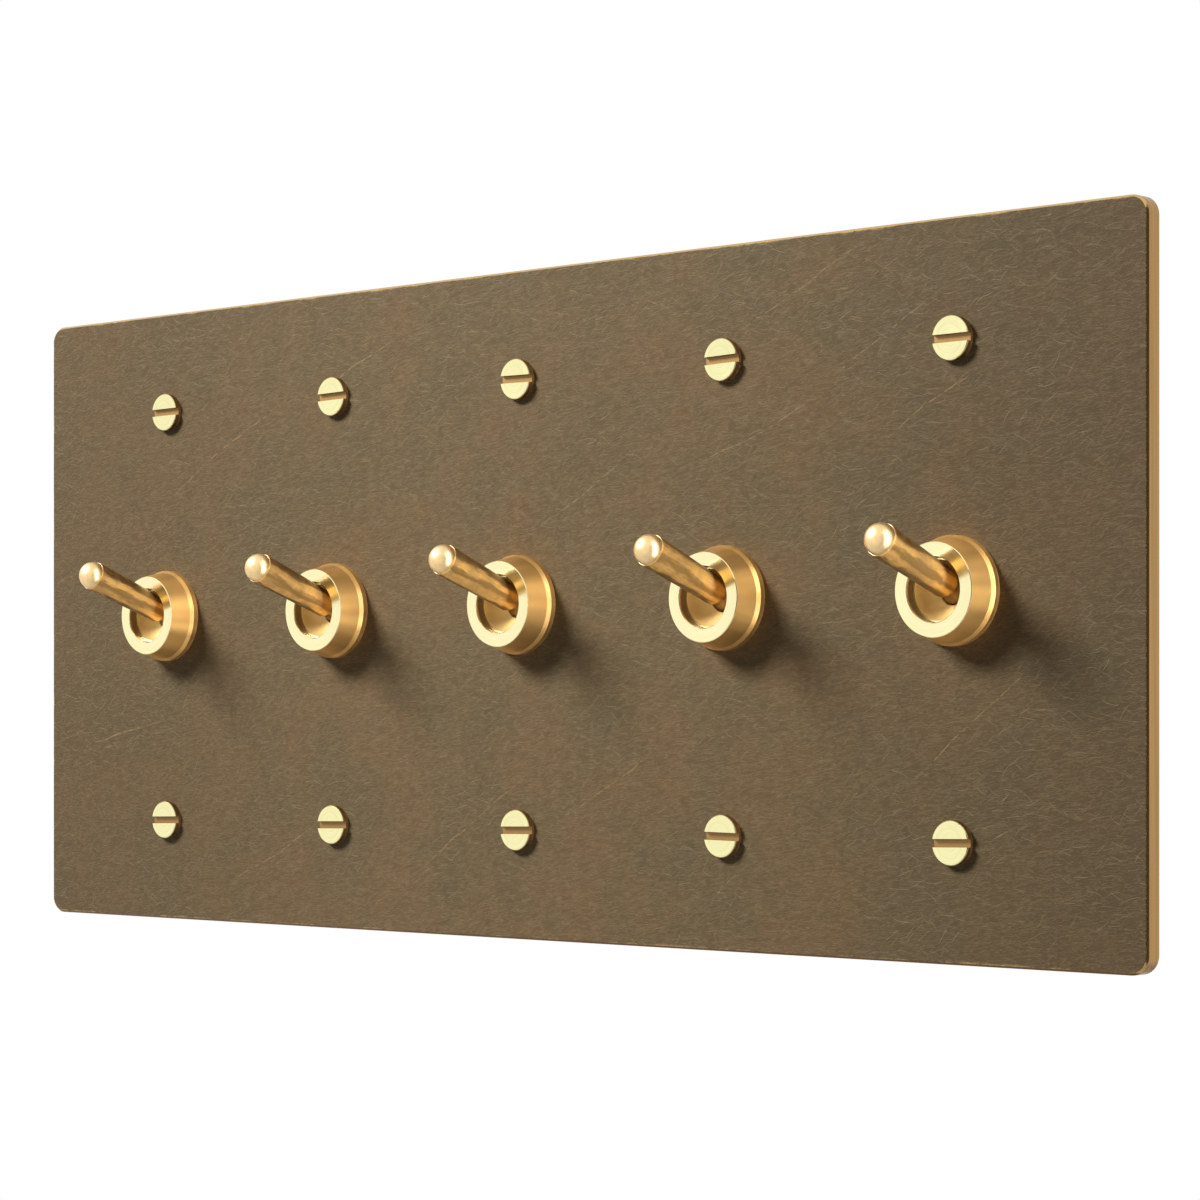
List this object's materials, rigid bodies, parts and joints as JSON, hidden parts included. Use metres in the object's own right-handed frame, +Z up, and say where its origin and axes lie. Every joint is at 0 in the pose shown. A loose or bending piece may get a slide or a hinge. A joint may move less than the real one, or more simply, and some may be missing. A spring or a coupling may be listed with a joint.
{
  "type": "toggle light switch",
  "caption": "Brass wall plate with a row of toggle levers in conical collars, slotted fixing screws and bush-mounted two-way switches behind.",
  "frame": {"origin": "Middle of the plate's wall side, which is the centre of the plate screws.", "axes": "X along the plate, Z up, Y from the front of the plate into the wall."},
  "size_m": [0.254, 0.0458, 0.1142],
  "materials": {
    "antique_plate": "antiqued",
    "polished_brass": "polished",
    "satin_brass": "satin",
    "terminal_brass": "plain",
    "plated_steel": "zinc plated",
    "nylon": "moulded",
    "phenolic": "moulded"
  },
  "bodies": {
    "switch_plate": {"face_plate": "antique_plate", "plate_screws": "polished_brass", "terminal_screws": "terminal_brass", "lock_nuts": "plated_steel", "lock_washers": "plated_steel", "collar_1": "polished_brass", "bush_1": "satin_brass", "pivot_pin_1": "plated_steel", "common_terminal_1": "terminal_brass", "throw_terminals_1": "terminal_brass", "frame_1": "plated_steel", "housing_1": "phenolic", "collar_2": "polished_brass", "bush_2": "satin_brass", "pivot_pin_2": "plated_steel", "common_terminal_2": "terminal_brass", "throw_terminals_2": "terminal_brass", "frame_2": "plated_steel", "housing_2": "phenolic", "collar_3": "polished_brass", "bush_3": "satin_brass", "pivot_pin_3": "plated_steel", "common_terminal_3": "terminal_brass", "throw_terminals_3": "terminal_brass", "frame_3": "plated_steel", "housing_3": "phenolic", "collar_4": "polished_brass", "bush_4": "satin_brass", "pivot_pin_4": "plated_steel", "common_terminal_4": "terminal_brass", "throw_terminals_4": "terminal_brass", "frame_4": "plated_steel", "housing_4": "phenolic", "collar_5": "polished_brass", "bush_5": "satin_brass", "pivot_pin_5": "plated_steel", "common_terminal_5": "terminal_brass", "throw_terminals_5": "terminal_brass", "frame_5": "plated_steel", "housing_5": "phenolic"},
    "lever_1": {"toggle_lever_1": "satin_brass", "plunger_spring_1": "plated_steel"},
    "plunger_1": {"plunger_1": "nylon"},
    "rocker_1": {"rocker_1": "terminal_brass"},
    "lever_2": {"toggle_lever_2": "satin_brass", "plunger_spring_2": "plated_steel"},
    "plunger_2": {"plunger_2": "nylon"},
    "rocker_2": {"rocker_2": "terminal_brass"},
    "lever_3": {"toggle_lever_3": "satin_brass", "plunger_spring_3": "plated_steel"},
    "plunger_3": {"plunger_3": "nylon"},
    "rocker_3": {"rocker_3": "terminal_brass"},
    "lever_4": {"toggle_lever_4": "satin_brass", "plunger_spring_4": "plated_steel"},
    "plunger_4": {"plunger_4": "nylon"},
    "rocker_4": {"rocker_4": "terminal_brass"},
    "lever_5": {"toggle_lever_5": "satin_brass", "plunger_spring_5": "plated_steel"},
    "plunger_5": {"plunger_5": "nylon"},
    "rocker_5": {"rocker_5": "terminal_brass"}
  },
  "joints": [
    {"name": "lever_1_hinge", "type": "hinge", "parent": "switch_plate", "child": "lever_1", "pos_m": [-0.09208, -0.0025, 0], "axis": [1, 0, 0], "range_deg": [0, 41.5]},
    {"name": "lever_2_hinge", "type": "hinge", "parent": "switch_plate", "child": "lever_2", "pos_m": [-0.04604, -0.0025, 0], "axis": [1, 0, 0], "range_deg": [0, 41.5]},
    {"name": "lever_3_hinge", "type": "hinge", "parent": "switch_plate", "child": "lever_3", "pos_m": [0, -0.0025, 0], "axis": [1, 0, 0], "range_deg": [0, 41.5]},
    {"name": "lever_4_hinge", "type": "hinge", "parent": "switch_plate", "child": "lever_4", "pos_m": [0.04604, -0.0025, 0], "axis": [1, 0, 0], "range_deg": [0, 41.5]},
    {"name": "lever_5_hinge", "type": "hinge", "parent": "switch_plate", "child": "lever_5", "pos_m": [0.09208, -0.0025, 0], "axis": [1, 0, 0], "range_deg": [0, 41.5]},
    {"name": "rocker_1_hinge", "type": "hinge", "parent": "switch_plate", "child": "rocker_1", "pos_m": [-0.09208, 0.0101, 0], "axis": [1, 0, 0], "range_deg": [-14, 0]},
    {"name": "rocker_2_hinge", "type": "hinge", "parent": "switch_plate", "child": "rocker_2", "pos_m": [-0.04604, 0.0101, 0], "axis": [1, 0, 0], "range_deg": [-14, 0]},
    {"name": "rocker_3_hinge", "type": "hinge", "parent": "switch_plate", "child": "rocker_3", "pos_m": [0, 0.0101, 0], "axis": [1, 0, 0], "range_deg": [-14, 0]},
    {"name": "rocker_4_hinge", "type": "hinge", "parent": "switch_plate", "child": "rocker_4", "pos_m": [0.04604, 0.0101, 0], "axis": [1, 0, 0], "range_deg": [-14, 0]},
    {"name": "rocker_5_hinge", "type": "hinge", "parent": "switch_plate", "child": "rocker_5", "pos_m": [0.09208, 0.0101, 0], "axis": [1, 0, 0], "range_deg": [-14, 0]},
    {"name": "plunger_1_slide", "type": "slide", "parent": "lever_1", "child": "plunger_1", "axis": [0, -0.9351, 0.3543], "range_m": [0, 0.0011], "stiffness_N_per_m": 300, "deforming": ["plunger_spring_1"]},
    {"name": "plunger_2_slide", "type": "slide", "parent": "lever_2", "child": "plunger_2", "axis": [0, -0.9351, 0.3543], "range_m": [0, 0.0011], "stiffness_N_per_m": 300, "deforming": ["plunger_spring_2"]},
    {"name": "plunger_3_slide", "type": "slide", "parent": "lever_3", "child": "plunger_3", "axis": [0, -0.9351, 0.3543], "range_m": [0, 0.0011], "stiffness_N_per_m": 300, "deforming": ["plunger_spring_3"]},
    {"name": "plunger_4_slide", "type": "slide", "parent": "lever_4", "child": "plunger_4", "axis": [0, -0.9351, 0.3543], "range_m": [0, 0.0011], "stiffness_N_per_m": 300, "deforming": ["plunger_spring_4"]},
    {"name": "plunger_5_slide", "type": "slide", "parent": "lever_5", "child": "plunger_5", "axis": [0, -0.9351, 0.3543], "range_m": [0, 0.0011], "stiffness_N_per_m": 300, "deforming": ["plunger_spring_5"]}
  ],
  "couplings": [
    {"joint": "rocker_1_hinge", "follows": "lever_1_hinge", "ratio": -0.33735},
    {"joint": "rocker_2_hinge", "follows": "lever_2_hinge", "ratio": -0.33735},
    {"joint": "rocker_3_hinge", "follows": "lever_3_hinge", "ratio": -0.33735},
    {"joint": "rocker_4_hinge", "follows": "lever_4_hinge", "ratio": -0.33735},
    {"joint": "rocker_5_hinge", "follows": "lever_5_hinge", "ratio": -0.33735}
  ]
}
